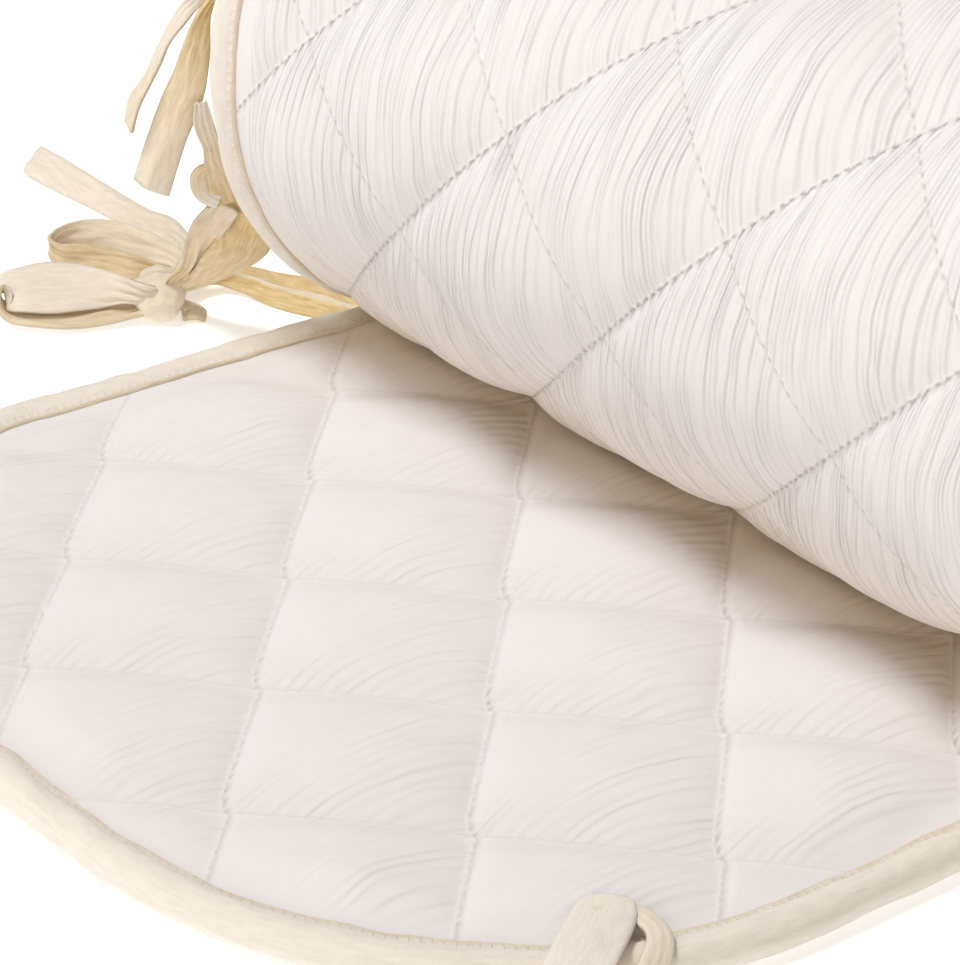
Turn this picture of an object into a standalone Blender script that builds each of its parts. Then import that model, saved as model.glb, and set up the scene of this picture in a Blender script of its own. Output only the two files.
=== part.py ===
"""Quilted crib bumper, rolled up with one end lying loose and a pair of ties in a bow.

The origin is on the floor under the roll's axis, at the middle of the cloth's width.
+X runs along the cloth from the loose end into the roll, +Y across it to the bow's side.
The cloth is one long padded strip. Its loose end lies on the floor, and it winds from there
up the back of the roll, over the top, down the front and on inwards. The turns touch, so the
roll is solid inside, and its turns are drawn by the bound edge that winds on both its ends.
"""
import math

import bpy
from mathutils import Vector

MM = 0.001

# The cloth, laid out flat
WIDTH = 300 * MM
LENGTH = 3000 * MM
DIAMOND_SIDE = 54.5 * MM
QUILT_START = 149.5 * MM        # from the loose end's tip to the first stitch crossing on the far edge
CORNER_RADIUS = 115 * MM

# Half thicknesses, measured from the middle of the cloth
PRESSED = 4.2 * MM              # between two turns, or on the floor
AT_STITCHES = 2.0 * MM          # along a stitch line, where the cloth is free
PUFF = 4.5 * MM                 # how far the middle of a free diamond stands over its stitches
FAINT_LINES = 0.25              # how full the diamonds stay on the lines that slant the other way
AT_BINDING = 2.9 * MM           # of a pressed face where it meets the binding

# The roll
LOOSE_LENGTH = 258.8 * MM       # from the loose end's tip to the floor under the roll's axis
ROLL_RADIUS = 90.6 * MM         # of the outer turn's middle, at the floor
PITCH = 9.2 * MM                # from one turn to the next
SAG = 4.0 * MM                  # how far the roll's weight flattens it
HIDDEN_STEPS = 18               # sections in a hidden turn

# Where the roll leaves the floor and the loose end, as angles from its lowest line
LIFT_START = math.radians(20)
LIFT_END = math.radians(36)
CLEFT_ANGLE = math.radians(22)
CLEFT_END = 32 * MM             # how far before the roll's axis the loose end goes under it

# Distances in from the cloth's outer edge
BINDING_WIDTH = 10.0 * MM
BINDING_SHOULDER = 3.5 * MM
BINDING_LIP = 1.0 * MM          # how far the binding stands over the cloth that it holds
BINDING_NOSE = 1.8 * MM         # half the flat of its rounded outer edge
CLOTH_RIM = 10.4 * MM
CLOTH_FULL = 14.0 * MM

TIE_THICKNESS = 1.2 * MM

CREAM = (0.82, 0.74, 0.60, 1.0)
OFF_WHITE = (0.86, 0.82, 0.80, 1.0)

HALF_DIAGONAL = DIAMOND_SIDE / math.sqrt(2)
QUILT_STEP = HALF_DIAGONAL / 3
CENTRE_HEIGHT = PRESSED + ROLL_RADIUS - SAG
FULL_TURN = 2 * math.pi

# The ties. Each row is a place along a ribbon: x, y, z and the ribbon's width in millimetres,
# then the way its face looks, as x, y and z. The bow lies on the floor beyond the roll's far end.
KNOT_CENTRE = (-71.5, 189.5)
KNOT_FACING = (0.55, 0.83, 0.0)
FRONT_KNOT = (                  # out from the middle, half length, half height, height of its centre
    (0.2, 7.5, 6.0, 6.9),
    (5.0, 7.6, 5.6, 6.5),
    (9.5, 5.0, 3.6, 4.6),
)
BACK_KNOT = (
    (0.2, 7.0, 6.0, 6.9),
    (5.0, 6.0, 5.4, 6.7),
    (9.5, 4.2, 4.2, 6.4),
)
STRAP_FROM_ROLL = (
    (-64.5, 152.8, 39.0, 19.5, 6, 0, 6),
    (-64.5, 155.9, 38.5, 18.0, 6, 1, 6),
    (-63.8, 160.0, 32.5, 16.0, 5, 4, 6),
    (-63.5, 163.5, 26.5, 16.0, 4, 6, 5),
    (-64.5, 169.5, 20.5, 13.5, 4, 6, 5),
    (-66.0, 175.0, 15.0, 8.5, 5, 6, 5),
    (-66.5, 180.0, 11.0, 6.0, 5, 5, 5),
    (-69.5, 183.5, 9.5, 5.0, 5, 5, 5),
)
STRAP_FOLD = (
    (-74.0, 158.0, 44.5, 9.5, 3, 6, 5),
    (-73.5, 164.0, 37.0, 10.5, 4, 6, 5),
    (-72.0, 171.0, 27.5, 8.0, 4, 6, 5),
    (-69.5, 178.0, 18.0, 5.0, 4, 5, 6),
    (-70.5, 182.5, 13.0, 4.5, 4, 5, 5),
    (-71.5, 184.5, 9.5, 4.5, 4, 5, 5),
)
FRONT_LOOP = (
    (-75.5, 185.0, 8.0, 5.0, 8, 5, 0),
    (-80.0, 186.0, 9.0, 6.0, 8, 5, 0),
    (-83.5, 191.0, 9.0, 8.0, 6, 5, -4),
    (-88.5, 196.0, 9.0, 13.0, 4, 4, -7),
    (-94.0, 200.5, 9.0, 17.5, 3, 3, -8),
    (-100.0, 204.5, 9.0, 18.5, 3, 3, -8),
    (-105.5, 208.5, 8.5, 17.0, 4, 2, -8),
    (-109.0, 212.5, 7.0, 13.0, 7, 0, -6),
    (-110.5, 211.5, 5.5, 11.0, 8, -4, 2),
    (-109.0, 206.5, 3.6, 12.0, -1, -2, 8),
    (-105.0, 200.5, 3.4, 12.0, -1, -2, 8),
    (-98.0, 195.5, 3.4, 12.0, -1, -2, 8),
    (-89.0, 192.0, 3.4, 10.5, -1, -2, 8),
    (-82.0, 189.0, 3.6, 8.0, -3, 0, 8),
    (-76.0, 185.0, 5.5, 6.0, -5, 0, 7),
)
SHORT_END = (
    (-67.5, 185.0, 3.4, 6.0, 0, 0, 9),
    (-64.8, 181.8, 2.0, 7.5, 0, 0, 9),
    (-67.4, 177.9, 1.0, 6.5, 0, 0, 9),
)
STRAP_FROM_FLOOR = (
    (-27.5, 151.8, 4.8, 8.5, 8, 3, -3),
    (-29.5, 158.0, 4.0, 11.5, 5, 2, -7),
    (-31.5, 164.0, 4.2, 13.0, 4, 2, -8),
    (-35.0, 170.5, 4.3, 13.0, 4, 2, -8),
    (-38.5, 177.5, 4.3, 11.5, 4, 2, -8),
    (-41.5, 186.0, 4.5, 9.0, 4, 2, -8),
    (-46.0, 191.5, 4.8, 7.5, 2, 4, -8),
    (-53.0, 193.0, 5.4, 5.5, 0, 6, -7),
    (-65.0, 190.8, 6.5, 5.0, 0, 6, -7),
)
BACK_LOOP = (
    (-64.5, 191.5, 8.5, 5.0, 7, 0, -6),
    (-58.0, 198.0, 9.0, 5.5, 7, 0, -6),
    (-58.0, 207.5, 9.0, 7.5, 8, 1, -4),
    (-60.5, 216.5, 8.7, 10.0, 7, 2, -5),
    (-63.5, 224.5, 8.4, 11.0, 6, 3, -6),
    (-68.0, 230.0, 8.0, 10.0, 6, 6, -4),
    (-73.0, 234.5, 7.8, 6.5, 2, 9, 1),
    (-77.5, 234.5, 6.0, 5.5, -6, 7, 0),
    (-77.5, 229.5, 4.4, 7.0, -7, -5, 0),
    (-73.5, 225.5, 4.6, 8.0, -7, -5, 0),
    (-69.5, 219.0, 4.6, 8.0, -8, -4, 2),
    (-66.0, 211.5, 4.6, 7.5, -7, -4, 4),
    (-60.8, 206.0, 4.2, 5.0, -7, -3, 5),
    (-60.5, 198.0, 5.0, 5.0, -6, 0, 6),
    (-65.5, 192.0, 5.5, 4.5, -6, 0, 6),
)
LONG_END = (
    (-64.0, 191.0, 9.5, 4.0, 0, -1, -9),
    (-56.5, 196.5, 10.6, 4.5, 0, -1, -9),
    (-50.5, 204.5, 9.0, 5.0, 0, -2, -9),
    (-44.0, 217.0, 6.3, 7.0, 1, -2, -9),
    (-40.0, 230.5, 4.8, 8.0, 4, -1, -8),
    (-41.0, 243.0, 3.8, 8.0, 5, 0, -7),
    (-41.5, 261.5, 3.9, 8.5, 6, 0, -6),
    (-42.5, 281.0, 4.5, 10.0, 6, 0, -6),
    (-43.0, 294.0, 4.6, 10.0, 7, 0, -6),
)
LOOSE_WIDE = (
    (-84.0, 153.0, 108.0, 2.5, 4, 8, 1),
    (-86.0, 154.5, 102.0, 4.5, 7, 6, 1),
    (-86.0, 156.7, 94.0, 7.5, 8, 4, 1),
    (-86.2, 159.2, 83.5, 10.5, 8, 3, 0),
    (-87.6, 162.0, 75.0, 11.5, 8, 3, 0),
    (-89.5, 165.0, 64.5, 11.5, 8, 3, 0),
    (-91.5, 168.0, 50.5, 11.5, 8, 4, 0),
)
LOOSE_THIN = (
    (-80.5, 153.6, 116.5, 3.0, 9, 1, 0),
    (-82.5, 158.8, 108.0, 3.6, 9, 2, 0),
    (-84.2, 163.5, 102.0, 5.0, 9, 1, -3),
    (-87.5, 166.8, 94.7, 6.5, 8, -3, -4),
    (-89.3, 169.2, 87.5, 6.7, 8, -3, -3),
    (-91.6, 171.5, 80.0, 6.7, 8, -3, -3),
    (-93.7, 173.5, 73.5, 7.0, 8, -2, -2),
    (-94.0, 175.0, 66.5, 6.7, 8, -3, -1),
)
EDGE_CURL = (
    (-86.0, 153.7, 79.0, 3.5, 5, 7, 2),
    (-84.6, 154.2, 73.0, 5.4, 5, 7, 2),
    (-82.8, 154.4, 68.4, 5.4, 6, 6, 2),
    (-81.6, 154.0, 65.0, 5.0, 6, 7, 2),
    (-80.2, 154.0, 60.0, 6.2, 5, 7, 2),
    (-77.2, 154.2, 53.0, 7.8, 4, 7, 3),
    (-74.4, 154.5, 47.3, 8.5, 4, 8, 3),
)
CURL_LOBE = (
    (-80.4, 155.4, 58.8, 3.0, 6, 6, 0),
    (-82.2, 157.2, 56.0, 5.2, 5, 7, 2),
    (-82.0, 157.8, 52.6, 5.7, 4, 8, 2),
    (-80.5, 157.4, 49.4, 5.0, 4, 8, 1),
    (-77.5, 155.2, 47.8, 4.5, 4, 8, 1),
)
NEAR_CORNER = (
    (-182.5, -121.5, 10.8, 9.0, 0, 0, 9),
    (-184.5, -123.5, 10.8, 12.5, 0, 0, 9),
    (-188.5, -126.3, 10.7, 14.0, 0, 0, 9),
    (-195.0, -130.4, 10.6, 14.5, 0, 0, 9),
    (-204.6, -136.4, 10.3, 14.5, -1, 0, 9),
    (-212.5, -141.5, 7.6, 14.0, -4, -3, 7),
    (-218.5, -145.5, 3.8, 13.5, -4, -3, 7),
    (-226.0, -150.0, 1.2, 13.0, -1, -1, 9),
    (-238.0, -158.0, 1.0, 12.5, 0, 0, 9),
)
NEAR_SIDE = (
    (-189.5, -123.5, 10.7, 9.0, 0, 0, 9),
    (-184.5, -125.0, 10.6, 8.0, 0, 0, 9),
    (-180.8, -129.6, 10.0, 6.5, 0, 0, 9),
    (-182.6, -137.6, 10.0, 6.0, 1, -1, 9),
    (-190.5, -144.0, 8.6, 6.5, 2, -4, 8),
    (-199.0, -147.8, 5.6, 6.5, 1, -5, 7),
    (-206.5, -152.5, 1.4, 6.5, 0, -2, 8),
    (-218.0, -159.0, 1.1, 6.0, 0, 0, 9),
)


def smooth(low, high, value):
    """0 below low, 1 above high and a soft ramp between them."""
    t = min(max((value - low) / (high - low), 0.0), 1.0)
    return t * t * (3 - 2 * t)


def soft_max(a, b, width):
    """The larger of a and b, rounded over where they are closer than width."""
    h = max(width - abs(a - b), 0.0) / width
    return max(a, b) + h * h * width / 4


def turn_angle(s):
    """Angle round the roll, from its lowest line, at length s from the tip."""
    shrink = PITCH / (2 * FULL_TURN)
    root = ROLL_RADIUS ** 2 - 4 * shrink * (s - LOOSE_LENGTH)
    return (ROLL_RADIUS - math.sqrt(root)) / (2 * shrink)


def length_at(angle):
    """Length from the tip at an angle round the roll."""
    return LOOSE_LENGTH + ROLL_RADIUS * angle - PITCH * angle ** 2 / (2 * FULL_TURN)


def middle(s):
    """The cloth's middle line seen from its side, as x and z. Each turn rests on those under it."""
    if s <= LOOSE_LENGTH:
        return s - LOOSE_LENGTH, PRESSED
    angle = turn_angle(s)
    radius = ROLL_RADIUS - PITCH * angle / FULL_TURN
    turns_below = round(angle / FULL_TURN)
    z = CENTRE_HEIGHT - radius * math.cos(angle)
    return radius * math.sin(angle), soft_max(z, PRESSED + turns_below * PITCH, 1.0 * MM)


def place(s, v, height):
    """A point at length s and v across from the far edge, height over the cloth's middle.

    Up on the loose end is inwards on the roll.
    """
    reach = 2.0 * MM
    x0, z0 = middle(s - reach)
    x1, z1 = middle(s + reach)
    size = math.hypot(x1 - x0, z1 - z0)
    x, z = middle(s)
    return Vector((x - (z1 - z0) / size * height, WIDTH / 2 - v, z + (x1 - x0) / size * height))


def edge_at(s, inset):
    """How far across the cloth starts at length s, for a line that runs inset from its outer edge."""
    if s >= CORNER_RADIUS:
        return inset
    return CORNER_RADIUS - math.sqrt((CORNER_RADIUS - inset) ** 2 - (CORNER_RADIUS - s) ** 2)


def edge_distance(s, v):
    """Distance in from the cloth's outer edge."""
    v = min(v, WIDTH - v)
    if s < CORNER_RADIUS and v < CORNER_RADIUS:
        return CORNER_RADIUS - math.hypot(CORNER_RADIUS - s, CORNER_RADIUS - v)
    return min(s, v)


def upper_pressed(s):
    """1 where the loose end's upper face is covered by the roll, 0 where it is free."""
    return smooth(LOOSE_LENGTH - 50 * MM, LOOSE_LENGTH - 34 * MM, s)


def lower_pressed(s):
    """1 where the face that turns outwards on the roll is covered, 0 where it is free."""
    if s <= LOOSE_LENGTH:
        return 1.0
    angle = turn_angle(s)
    return (1 - smooth(LIFT_START, LIFT_END, angle)
            + smooth(FULL_TURN - LIFT_END, FULL_TURN - LIFT_START, angle))


def rim_height(pressed):
    """Half thickness of the cloth where it meets the binding."""
    return AT_STITCHES + (AT_BINDING - AT_STITCHES) * pressed


def face_height(s, v, pressed):
    """Half thickness of one face of the cloth, with its diamonds raised where it is free."""
    distance = edge_distance(s, v)
    along = (s - QUILT_START) / HALF_DIAGONAL
    across = v / HALF_DIAGONAL
    deep = abs(math.sin(math.pi * (along + across) / 2))
    faint = abs(math.sin(math.pi * (along - across) / 2))
    stitches = deep * (FAINT_LINES + (1 - FAINT_LINES) * faint)
    free = AT_STITCHES + PUFF * stitches ** 0.55 * smooth(CLOTH_RIM, 2.6 * CLOTH_RIM, distance)
    full = free + (PRESSED - free) * pressed
    rim = rim_height(pressed)
    return rim + (full - rim) * smooth(CLOTH_RIM, CLOTH_FULL, distance)


def rows_along(last_angle):
    """Lengths of the rows of points on the cloth, in step with the quilting, up to an angle."""
    rows = [CLOTH_RIM, 12 * MM, 15.5 * MM]
    first = math.ceil((rows[-1] - QUILT_START) / QUILT_STEP)
    last = math.floor((length_at(last_angle) - QUILT_START) / QUILT_STEP)
    rows += [QUILT_START + k * QUILT_STEP for k in range(first, last)]
    return rows + [length_at(last_angle)]


def points_across(s, pressed):
    """Distances across the cloth of one row's points."""
    starts = [edge_at(s, inset) for inset in (CLOTH_RIM, CLOTH_FULL) if inset <= s]
    across = starts + [WIDTH - v for v in starts]
    if pressed < 1 and s > CLOTH_RIM:
        count = math.floor(WIDTH / QUILT_STEP)
        lattice = [QUILT_STEP * (k + 1) for k in range(count)]
        across += [v for v in lattice if starts[-1] + 1.5 * MM < v < WIDTH - starts[-1] - 1.5 * MM]
    return sorted(across)


def fill_strip(row_a, row_b, faces, flip):
    """Fills the strip between two rows of (distance, corner, column) with triangles."""
    i = j = 0
    while i < len(row_a) - 1 or j < len(row_b) - 1:
        step_a = i < len(row_a) - 1
        if step_a and j < len(row_b) - 1:
            next_a = row_a[i + 1][0]
            next_b = row_b[j + 1][0]
            if abs(next_a - next_b) < 0.01 * MM:
                step_a = (round(row_a[i][0] / QUILT_STEP) + row_a[i][2]) % 2 == 0
            else:
                step_a = next_a < next_b
        if step_a:
            face = (row_a[i][1], row_a[i + 1][1], row_b[j][1])
            i += 1
        else:
            face = (row_a[i][1], row_b[j + 1][1], row_b[j][1])
            j += 1
        faces.append(face[::-1] if flip else face)


def solid(name, points, faces, colour, roughness):
    """Makes one closed object with its own material."""
    mesh = bpy.data.meshes.new(name)
    mesh.from_pydata([tuple(point) for point in points], [], faces)
    mesh.validate()
    material = bpy.data.materials.new(name + "_cloth")
    material.use_nodes = True
    shader = material.node_tree.nodes["Principled BSDF"]
    shader.inputs["Base Color"].default_value = colour
    shader.inputs["Roughness"].default_value = roughness
    shader.inputs["Metallic"].default_value = 0.0
    mesh.materials.append(material)
    mesh.shade_smooth()
    mesh.set_sharp_from_angle(angle=math.radians(50))
    piece = bpy.data.objects.new(name, mesh)
    bpy.context.scene.collection.objects.link(piece)
    return piece


def cloth_face(rows, pressed_at, side, points, faces):
    """One face of the cloth, as rows of points with triangles between them."""
    grid = []
    for number, s in enumerate(rows):
        beside = rows[max(number - 1, 0):number + 2]
        pressed = min(pressed_at(t) for t in beside)
        column = round((s - QUILT_START) / QUILT_STEP)
        row = []
        for v in points_across(s, pressed):
            row.append((v, len(points), column))
            points.append(place(s, v, face_height(s, v, pressed_at(s)) * side))
        if grid:
            fill_strip(grid[-1], row, faces, side < 0)
        grid.append(row)
    return grid


def quilted_panel():
    """The padded cloth: its loose end and the roll that it winds into, in one solid."""
    points = []
    faces = []
    lower_rows = rows_along(FULL_TURN - CLEFT_ANGLE)
    upper_rows = [s for s in lower_rows if s < LOOSE_LENGTH - CLEFT_END]
    upper = cloth_face(upper_rows, upper_pressed, 1, points, faces)
    lower = cloth_face(lower_rows, lower_pressed, -1, points, faces)
    fill_strip(lower[0], upper[0], faces, False)
    fill_strip(upper[-1], lower[-1], faces, False)
    for end, flip in ((0, True), (-1, False)):
        for k in range(len(upper) - 1):
            wall = (upper[k][end][1], upper[k + 1][end][1], lower[k + 1][end][1], lower[k][end][1])
            faces.append(wall if flip else wall[::-1])
        hub = len(points)
        points.append(Vector((0.0, points[lower[-1][end][1]].y, CENTRE_HEIGHT)))
        ring = [row[end][1] for row in lower[len(upper) - 1:]] + [upper[-1][end][1]]
        for a, b in zip(ring, ring[1:] + ring[:1]):
            faces.append((hub, b, a) if flip else (hub, a, b))
    return solid("quilted_panel", points, faces, OFF_WHITE, 0.85)


def binding_stops():
    """Stops from the core round the loose end to the core: length, across, and the way inwards."""
    seen = rows_along(FULL_TURN - CLEFT_ANGLE)
    angle = turn_angle(seen[-1])
    turns = (turn_angle(LENGTH) - angle) / FULL_TURN
    count = math.ceil(turns * HIDDEN_STEPS)
    wound = [length_at(angle + turns * FULL_TURN * (k + 1) / count) for k in range(count)]
    side = []
    for s in reversed(seen[1:] + wound):
        turn = math.acos(min(max((CORNER_RADIUS - s) / (CORNER_RADIUS - CLOTH_RIM), 0.0), 1.0))
        inward = (math.cos(turn), math.sin(turn))
        start = s if s > CORNER_RADIUS else CORNER_RADIUS * (1 - inward[0])
        side.append((start, CORNER_RADIUS * (1 - inward[1]), *inward))
    tip = (0.0, CORNER_RADIUS, 1.0, 0.0)
    far_side = side + [tip]
    return far_side + [(s, WIDTH - v, ds, -dv) for s, v, ds, dv in reversed(far_side)]


def edge_binding():
    """The tape that is folded over the cloth's edge, with its rounded outer edge."""
    points = []
    faces = []
    stops = binding_stops()
    for s, v, ds, dv in stops:
        upper = rim_height(upper_pressed(s)) + BINDING_LIP
        lower = rim_height(lower_pressed(s)) + BINDING_LIP
        section = (
            (BINDING_WIDTH, -lower),
            (BINDING_SHOULDER, -PRESSED),
            (0.0, -BINDING_NOSE),
            (0.0, BINDING_NOSE),
            (BINDING_SHOULDER, PRESSED),
            (BINDING_WIDTH, upper),
        )
        points += [place(s + ds * inset, v + dv * inset, height) for inset, height in section]
    skin(points, 6, faces)
    return solid("edge_binding", points, faces, CREAM, 0.8)


def skin(points, size, faces):
    """Joins sections of a given number of points into a closed body."""
    faces.append(tuple(range(size)))
    last = len(points) - size
    faces.append(tuple(range(last + size - 1, last - 1, -1)))
    for start in range(0, last, size):
        for i in range(size):
            j = (i + 1) % size
            faces.append((start + j, start + i, start + size + i, start + size + j))


def ribbon(name, route):
    """A flat strip along a route, with a square cut at each end."""
    middles = [Vector(row[:3]) * MM for row in route]
    points = []
    faces = []
    for k, row in enumerate(route):
        way = (middles[min(k + 1, len(route) - 1)] - middles[max(k - 1, 0)]).normalized()
        across = way.cross(Vector(row[4:])).normalized()
        facing = across.cross(way)
        reach = across * row[3] * MM / 2
        lift = facing * TIE_THICKNESS / 2
        points += [middles[k] + reach + lift, middles[k] - reach + lift,
                   middles[k] - reach - lift, middles[k] + reach - lift]
    skin(points, 4, faces)
    return solid(name, points, faces, CREAM, 0.8)


def knot_half(name, side, rings):
    """Half of the knot: a rounded lump, cut flat where the two ribbons press together."""
    outward = Vector(KNOT_FACING).normalized() * side
    upward = Vector((0, 0, 1))
    ahead = upward.cross(outward)
    corners = 8
    points = []
    faces = []
    for out, length, height, z in rings:
        for i in range(corners):
            turn = FULL_TURN * (i + 0.5) / corners
            offset = outward * out + ahead * length * math.cos(turn) + upward * height * math.sin(turn)
            points.append((Vector((*KNOT_CENTRE, z)) + offset) * MM)
    skin(points, corners, faces)
    return solid(name, points, faces, CREAM, 0.8)


def join(name, pieces):
    """Unites pieces that meet in the knot into one solid."""
    whole = pieces[0]
    for piece in pieces[1:]:
        union = whole.modifiers.new(piece.name, "BOOLEAN")
        union.operation = "UNION"
        union.object = piece
        piece.hide_render = True
        piece.display_type = "WIRE"
    whole.name = name
    return whole


def main():
    for piece in list(bpy.data.objects):
        bpy.data.objects.remove(piece, do_unlink=True)
    quilted_panel()
    edge_binding()
    join("tie_bow_roll", [knot_half("roll_knot", -1, FRONT_KNOT), ribbon("roll_strap", STRAP_FROM_ROLL),
                          ribbon("roll_fold", STRAP_FOLD), ribbon("roll_loop", FRONT_LOOP),
                          ribbon("roll_end", SHORT_END)])
    join("tie_bow_floor", [knot_half("floor_knot", 1, BACK_KNOT), ribbon("floor_strap", STRAP_FROM_FLOOR),
                           ribbon("floor_loop", BACK_LOOP), ribbon("floor_end", LONG_END)])
    ribbon("tie_loose_wide", LOOSE_WIDE)
    ribbon("tie_loose_thin", LOOSE_THIN)
    join("tie_edge_curl", [ribbon("edge_band", EDGE_CURL), ribbon("edge_lobe", CURL_LOBE)])
    join("tie_near_corner", [ribbon("corner_band", NEAR_CORNER), ribbon("corner_side", NEAR_SIDE)])


main()
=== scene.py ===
"""Looks of the rolled crib bumper: crinkled quilting, bound edge, ribbons and soft studio light."""
import math

import bpy
import numpy as np
from mathutils import Matrix, Vector


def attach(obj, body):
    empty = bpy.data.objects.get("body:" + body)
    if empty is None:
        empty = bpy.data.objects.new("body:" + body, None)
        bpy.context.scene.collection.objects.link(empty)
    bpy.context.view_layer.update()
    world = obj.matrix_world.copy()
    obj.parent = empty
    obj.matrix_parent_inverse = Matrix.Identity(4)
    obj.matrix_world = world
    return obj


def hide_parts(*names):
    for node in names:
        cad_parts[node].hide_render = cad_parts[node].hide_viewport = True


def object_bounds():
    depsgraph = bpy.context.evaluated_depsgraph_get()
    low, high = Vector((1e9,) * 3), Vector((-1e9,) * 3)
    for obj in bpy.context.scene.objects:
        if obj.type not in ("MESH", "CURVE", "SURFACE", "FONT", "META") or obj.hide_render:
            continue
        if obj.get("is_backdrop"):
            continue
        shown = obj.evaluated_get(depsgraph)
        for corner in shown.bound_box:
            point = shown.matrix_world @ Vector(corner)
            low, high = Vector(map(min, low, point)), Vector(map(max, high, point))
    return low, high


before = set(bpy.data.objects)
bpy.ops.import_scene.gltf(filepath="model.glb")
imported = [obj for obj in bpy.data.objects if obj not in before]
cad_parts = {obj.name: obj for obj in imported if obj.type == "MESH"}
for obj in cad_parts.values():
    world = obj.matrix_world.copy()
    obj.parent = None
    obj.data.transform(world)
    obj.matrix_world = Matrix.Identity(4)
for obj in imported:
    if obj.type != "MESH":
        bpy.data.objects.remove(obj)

CAD_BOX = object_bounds()

MM = 0.001
TURN = 2 * math.pi

# The cloth, as in the solids
WIDTH = 300 * MM
LENGTH = 3000 * MM
DIAMOND = 54.5 * MM
HALF_DIAGONAL = DIAMOND / math.sqrt(2)
QUILT_START = 149.5 * MM
CORNER = 115 * MM
PRESSED = 4.2 * MM
AT_STITCHES = 2.0 * MM
PUFF = 4.5 * MM
FAINT_LINES = 0.25               # share of a puff's height left along the second family of lines, on the roll
FAINT_LINES_LOOSE = 0.08         # the same on the loose end, where both families are nearly as deep
LOOSE = 258.8 * MM
ROLL_RADIUS = 90.6 * MM
PITCH = 9.2 * MM
SAG = 4.0 * MM
CENTRE_HEIGHT = PRESSED + ROLL_RADIUS - SAG
LIFT_START = math.radians(20)
LIFT_END = math.radians(36)
TUCK = 8.5 * MM                  # how far in from the outer edge the cloth goes under the binding
JOG = 0.022                      # step of a stitch line at a crossing, in diamonds, on the loose end
HOLE_STEP = 3.1                  # millimetres from one needle hole to the next
RIDGE_STEP = 3.5                 # millimetres from one ridge of the crinkle to the next
TAPE_STITCH = 0.0027             # metres from one stitch of the binding to the next
END_DEPTH = 9.4 * MM             # how far inside the roll's ends its layers show

# Colours
CLOTH_LIT = (0.83, 0.80, 0.80, 1)
CLOTH_DIM = (0.79, 0.755, 0.75, 1)
# Painted shade: the warm dark tone of the cloth in the nook under the roll, low on the roll and in the roll's
# ends
CLOTH_PAINTED_SHADE = (0.85, 0.72, 0.53, 1)
# Thread colour of the stitch lines, with painted groove shade in it
CLOTH_THREAD_AND_GROOVE_SHADE = (0.66, 0.54, 0.38, 1)
# Painted shade in the needle holes
CLOTH_HOLE_SHADE = (0.44, 0.32, 0.18, 1)
TAPE_PALE = ((0.80, 0.75, 0.68, 1), (0.85, 0.80, 0.725, 1))
# Painted shade of the tape: the ochre that the ribbons and binding take in their shaded folds and faces
TAPE_PAINTED_SHADE = ((0.60, 0.42, 0.17, 1), (0.74, 0.58, 0.30, 1))
TAPE_THREAD = (0.60, 0.48, 0.32, 1)

# Camera, fitted to the stitch crossings
CAMERA_TARGET = Vector((-0.06443, 0.05591, 0.0))
CAMERA_DISTANCE = 0.9655
CAMERA_AZIMUTH = math.radians(-42.718)
CAMERA_ELEVATION = math.radians(26.892)
CAMERA_ROLL = math.radians(4.173)
CAMERA_LENS = 3650.5 * 36 / 960


# Shape helpers
def smooth(low, high, value):
    t = np.clip((value - low) / (high - low), 0.0, 1.0)
    return t * t * (3 - 2 * t)


def soft_max(a, b, width):
    h = np.maximum(width - np.abs(a - b), 0.0) / width
    return np.maximum(a, b) + h * h * width / 4


def turn_angle(s):
    shrink = PITCH / (2 * TURN)
    root = ROLL_RADIUS ** 2 - 4 * shrink * (s - LOOSE)
    return (ROLL_RADIUS - np.sqrt(np.maximum(root, 0.0))) / (2 * shrink)


def length_at(angle):
    return LOOSE + ROLL_RADIUS * angle - PITCH * angle ** 2 / (2 * TURN)


def middle(s):
    angle = turn_angle(np.maximum(s, LOOSE))
    radius = ROLL_RADIUS - PITCH * angle / TURN
    z = CENTRE_HEIGHT - radius * np.cos(angle)
    z = soft_max(z, PRESSED + np.round(angle / TURN) * PITCH, 1.0 * MM)
    flat = s <= LOOSE
    return np.where(flat, s - LOOSE, radius * np.sin(angle)), np.where(flat, PRESSED, z)


def place(s, v, height):
    """Points at lengths s from the tip and v across from the far edge, height over the cloth's middle."""
    reach = 2.0 * MM
    x0, z0 = middle(s - reach)
    x1, z1 = middle(s + reach)
    size = np.hypot(x1 - x0, z1 - z0)
    x, z = middle(s)
    return np.stack([x - (z1 - z0) / size * height, WIDTH / 2 - v, z + (x1 - x0) / size * height], -1)


def edge_at(s, inset):
    inside = np.maximum((CORNER - inset) ** 2 - (CORNER - s) ** 2, 0.0)
    return np.where(s >= CORNER, inset, CORNER - np.sqrt(inside))


def edge_distance(s, v):
    v = np.minimum(v, WIDTH - v)
    corner = CORNER - np.hypot(CORNER - s, CORNER - v)
    return np.where((s < CORNER) & (v < CORNER), corner, np.minimum(s, v))


def lattice_noise(x, y, seed):
    """Smooth noise from -1 to 1 on a seeded grid of 256 by 256 values."""
    table = np.random.default_rng(seed).uniform(-1, 1, (256, 256))
    xi, yi = np.floor(x).astype(int), np.floor(y).astype(int)
    fx, fy = x - xi, y - yi
    fx, fy = fx * fx * (3 - 2 * fx), fy * fy * (3 - 2 * fy)
    a, b = table[xi % 256, yi % 256], table[(xi + 1) % 256, yi % 256]
    c, d = table[xi % 256, (yi + 1) % 256], table[(xi + 1) % 256, (yi + 1) % 256]
    return (a * (1 - fx) + b * fx) * (1 - fy) + (c * (1 - fx) + d * fx) * fy


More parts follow.
